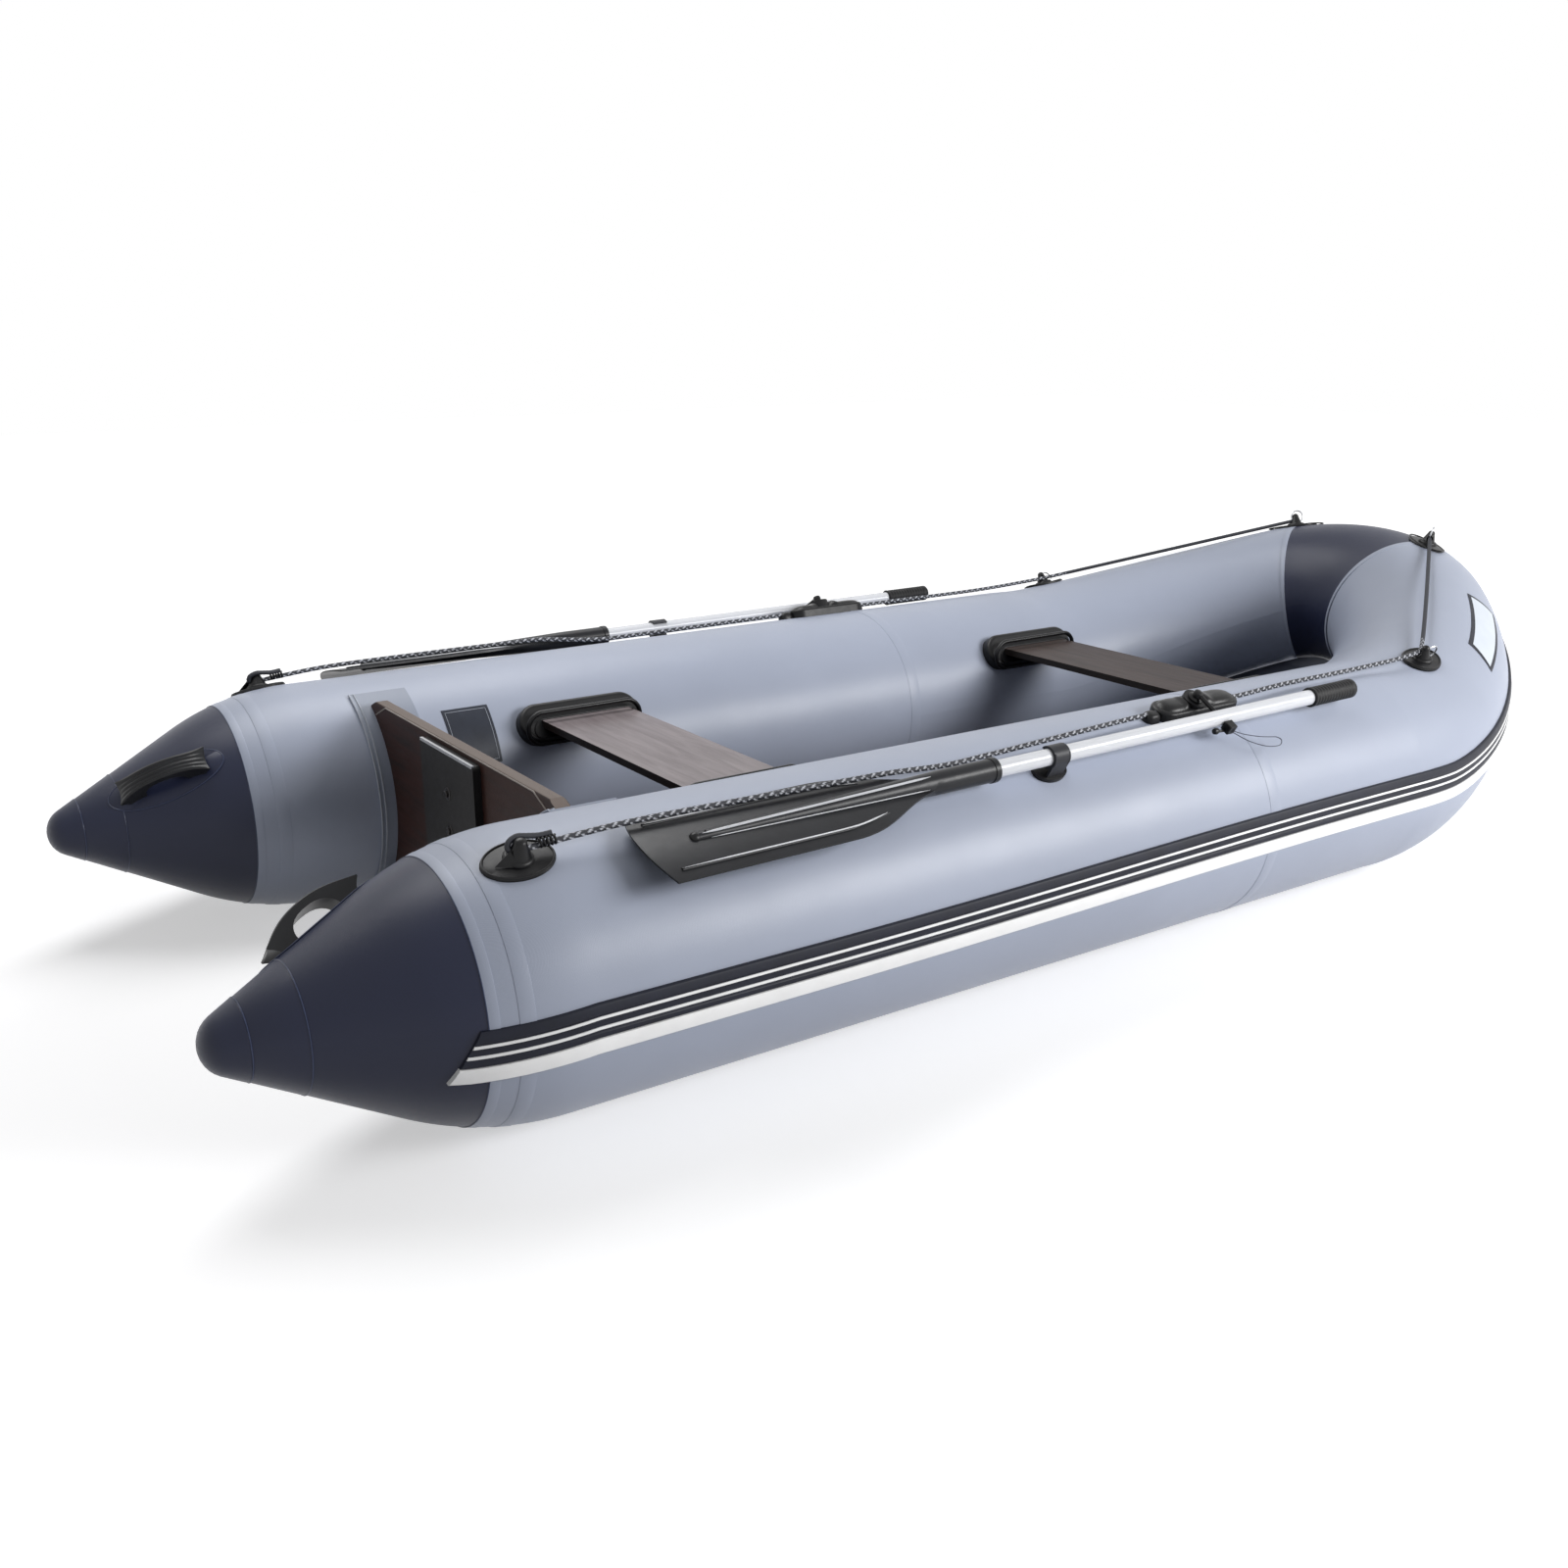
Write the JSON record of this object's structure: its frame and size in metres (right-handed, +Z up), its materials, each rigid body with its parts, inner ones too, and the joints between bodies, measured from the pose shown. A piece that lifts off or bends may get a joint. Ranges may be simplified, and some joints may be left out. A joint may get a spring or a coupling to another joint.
{
  "type": "inflatable boat with plywood transom",
  "caption": "Inflatable boat with round side tubes and stern cones, plywood transom, thwarts and floor, grab lines and swinging oars.",
  "frame": {"origin": "middle of the overall box, on the ground under the two tubes", "axes": "+X forward, +Y to port, +Z up"},
  "size_m": [3.1613, 1.4426, 0.6023],
  "materials": {
    "dark_pvc": "satin coated fabric",
    "grey_pvc": "satin coated fabric",
    "holder_pvc": "satin coated fabric",
    "moulded_rubber": "satin moulded rubber",
    "braided_rope": "braided",
    "oar_tube": "white satin",
    "oar_grip": "matte",
    "oar_plastic": "satin",
    "rowlock_plastic": "satin",
    "clip_rubber": "satin",
    "strake_dark": "satin",
    "strake_white": "satin",
    "transom_plywood": "varnished",
    "motor_pad": "matte",
    "plywood": "varnished, fine mesh face",
    "floor_plywood": "varnished, fine mesh face",
    "bottom_pvc": "coated fabric",
    "blank_plate": "satin"
  },
  "bodies": {
    "root": {"aft_tube_port": "grey_pvc", "aft_tube_starboard": "grey_pvc", "bottom_skin": "bottom_pvc", "bow_side_fitting_port": "moulded_rubber", "bow_side_fitting_starboard": "moulded_rubber", "bow_top_fitting_port": "moulded_rubber", "bow_top_fitting_starboard": "moulded_rubber", "bow_tube": "dark_pvc", "capacity_plate_blank": "blank_plate", "carry_handle_port": "moulded_rubber", "carry_handle_starboard": "moulded_rubber", "floor_panel_1": "floor_plywood", "floor_panel_2": "floor_plywood", "floor_panel_3": "floor_plywood", "floor_panel_4": "floor_plywood", "forward_tube_port": "grey_pvc", "forward_tube_starboard": "grey_pvc", "grab_line_port": "braided_rope", "grab_line_starboard": "braided_rope", "oar_clip_foot_port": "moulded_rubber", "oar_clip_foot_starboard": "moulded_rubber", "oar_clip_port": "clip_rubber", "oar_clip_starboard": "clip_rubber", "rowlock_foot_port": "moulded_rubber", "rowlock_foot_starboard": "moulded_rubber", "rub_strake": "strake_dark", "rub_strake_white": "strake_white", "stern_cone_port": "dark_pvc", "stern_cone_starboard": "dark_pvc", "stern_line_fitting_port": "moulded_rubber", "stern_line_fitting_starboard": "moulded_rubber", "thwart_aft": "plywood", "thwart_forward": "plywood", "thwart_socket_aft_port": "moulded_rubber", "thwart_socket_aft_starboard": "moulded_rubber", "thwart_socket_forward_port": "moulded_rubber", "thwart_socket_forward_starboard": "moulded_rubber", "transom": "transom_plywood", "transom_holder_port": "holder_pvc", "transom_holder_starboard": "holder_pvc", "transom_inner_pad": "motor_pad", "transom_motor_pad": "motor_pad"},
    "oar_port": {"oar_blade_port": "oar_plastic", "oar_grip_port": "oar_grip", "oar_shaft_port": "oar_tube", "rowlock_swivel_port": "rowlock_plastic"},
    "oar_starboard": {"oar_blade_starboard": "oar_plastic", "oar_grip_starboard": "oar_grip", "oar_shaft_starboard": "oar_tube", "rowlock_swivel_starboard": "rowlock_plastic"}
  },
  "joints": [
    {"name": "oar_swing_port", "type": "hinge", "parent": "root", "child": "oar_port", "pos_m": [0.14396, 0.58161, 0.44879], "axis": [0, -0.5314, -0.8471], "range_deg": [0, 110], "deforming": ["oar_clip_port"]},
    {"name": "oar_swing_starboard", "type": "hinge", "parent": "root", "child": "oar_starboard", "pos_m": [0.14396, -0.58161, 0.44879], "axis": [0, -0.5314, 0.8471], "range_deg": [0, 110], "deforming": ["oar_clip_starboard"]}
  ]
}
